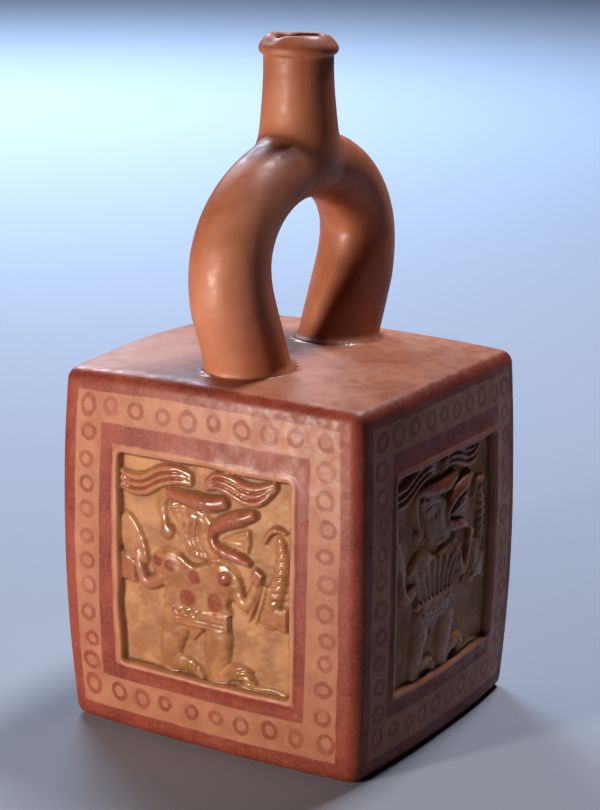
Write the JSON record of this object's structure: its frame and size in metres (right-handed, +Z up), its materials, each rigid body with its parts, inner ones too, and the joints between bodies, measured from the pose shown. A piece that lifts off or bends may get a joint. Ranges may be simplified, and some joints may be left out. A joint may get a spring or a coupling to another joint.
{
  "type": "stirrup spout vessel",
  "caption": "Hollow fired-clay bottle: a box-shaped chamber with a relief figure on each side, under a hollow stirrup arch that carries the pouring spout.",
  "frame": {"origin": "on the underside, in the middle of the chamber", "axes": "+Z up, -Y out of the front panel, +X out of the right-hand panel; the stirrup arches in the YZ plane"},
  "size_m": [0.1204, 0.111, 0.226],
  "materials": {
    "burnished_clay": "burnished, with red-brown slip bands, rings and frames"
  },
  "bodies": {
    "root": {"vessel": "burnished_clay"}
  },
  "joints": []
}
